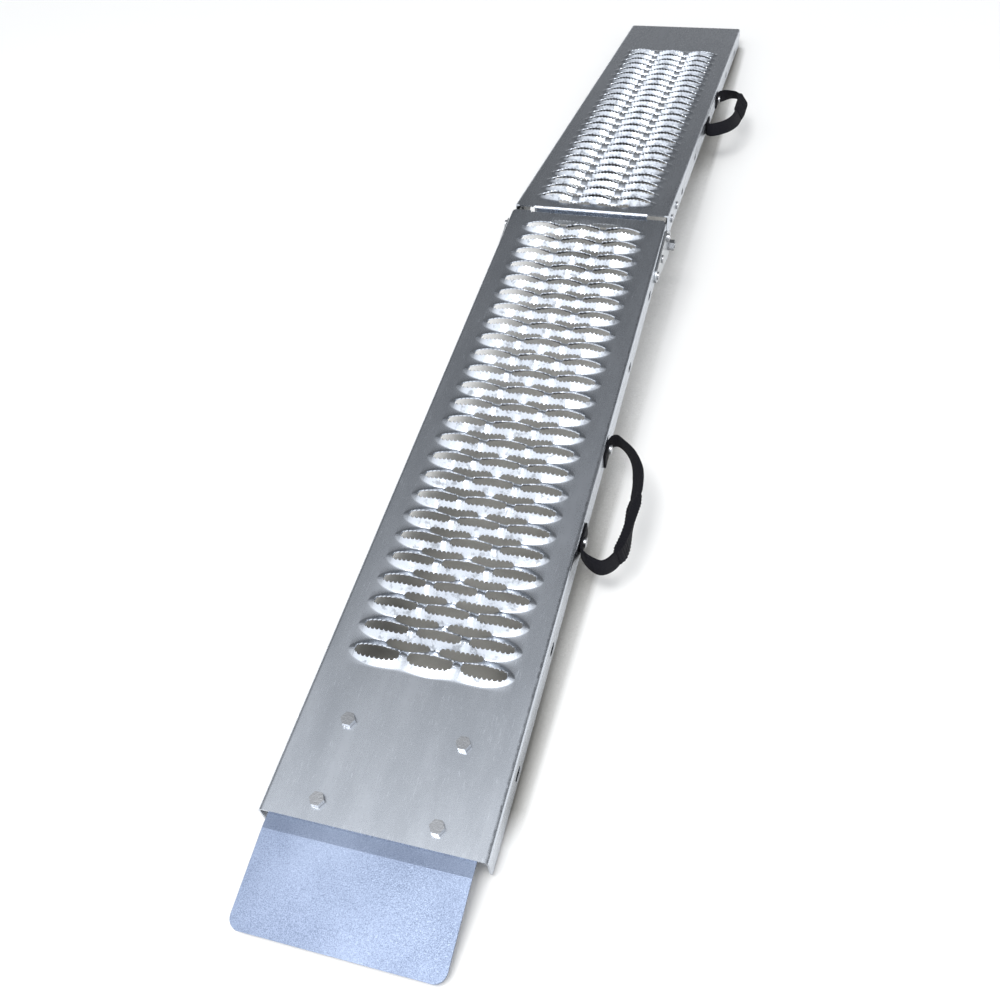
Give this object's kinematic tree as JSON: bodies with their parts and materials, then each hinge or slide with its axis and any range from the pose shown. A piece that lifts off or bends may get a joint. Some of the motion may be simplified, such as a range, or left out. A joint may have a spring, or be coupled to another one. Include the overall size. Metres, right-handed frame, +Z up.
{
  "type": "folding loading ramp",
  "caption": "Folding galvanised loading ramp with serrated grating planks, side hinge, bolted load-bed lip and webbing carry handles.",
  "frame": {"origin": "middle of the bounding box's base, on the floor that the open ramp stands on; the ramp's centre line is at x = -20.0 mm", "axes": "+X towards the side with the handles, +Y from the lip to the far end, +Z up"},
  "size_m": [0.289, 1.9488, 0.1352],
  "materials": {
    "galvanised_sheet": "hot-dip galvanised sheet, fine spangle, dull sheen",
    "zinc_plate": "bright zinc-plated plate with a fine grain",
    "hinge_steel": "zinc-plated flat steel, dull",
    "zinc_fastener": "bright zinc-plated fasteners",
    "webbing": "black woven nylon webbing",
    "grip_webbing": "black doubled and stitched webbing"
  },
  "bodies": {
    "near_section": {"lip_bolts": "zinc_fastener", "lip_nuts": "zinc_fastener", "lip_plate": "zinc_plate", "lip_washers": "zinc_fastener", "near_handle_nuts": "zinc_fastener", "near_handle_screws": "zinc_fastener", "near_handle_tab_inner": "webbing", "near_handle_tab_outer": "webbing", "near_handle_washers": "zinc_fastener", "near_hinge_plate_left": "hinge_steel", "near_hinge_plate_right": "hinge_steel", "near_hinge_rivets_left": "zinc_fastener", "near_hinge_rivets_right": "zinc_fastener", "near_plank": "galvanised_sheet", "pivot_bolt_left": "zinc_fastener", "pivot_bolt_right": "zinc_fastener", "pivot_nut_left": "zinc_fastener", "pivot_nut_right": "zinc_fastener", "pivot_spacer_left": "zinc_fastener", "pivot_spacer_right": "zinc_fastener", "pivot_washer_left": "zinc_fastener", "pivot_washer_right": "zinc_fastener", "stop_pin_left": "zinc_fastener", "stop_pin_right": "zinc_fastener"},
    "far_section": {"far_handle_nuts": "zinc_fastener", "far_handle_screws": "zinc_fastener", "far_handle_tab_inner": "webbing", "far_handle_tab_outer": "webbing", "far_handle_washers": "zinc_fastener", "far_hinge_plate_left": "hinge_steel", "far_hinge_plate_right": "hinge_steel", "far_hinge_rivets_left": "zinc_fastener", "far_hinge_rivets_right": "zinc_fastener", "far_plank": "galvanised_sheet"},
    "near_handle": {"near_handle_loop": "webbing", "near_handle_grip": "grip_webbing"},
    "far_handle": {"far_handle_loop": "webbing", "far_handle_grip": "grip_webbing"}
  },
  "joints": [
    {"name": "fold", "type": "hinge", "parent": "near_section", "child": "far_section", "pos_m": [-0.01995, 0.05069, 0.09151], "axis": [-1, 0, 0], "range_deg": [0, 167.8]},
    {"name": "near_handle_swing", "type": "hinge", "parent": "near_section", "child": "near_handle", "pos_m": [0.09375, -0.43267, 0.06174], "axis": [0, -0.9943, -0.1063], "range_deg": [-5, 35]},
    {"name": "far_handle_swing", "type": "hinge", "parent": "far_section", "child": "far_handle", "pos_m": [0.09375, 0.53405, 0.06174], "axis": [0, -0.9943, 0.1063], "range_deg": [-5, 35]}
  ]
}
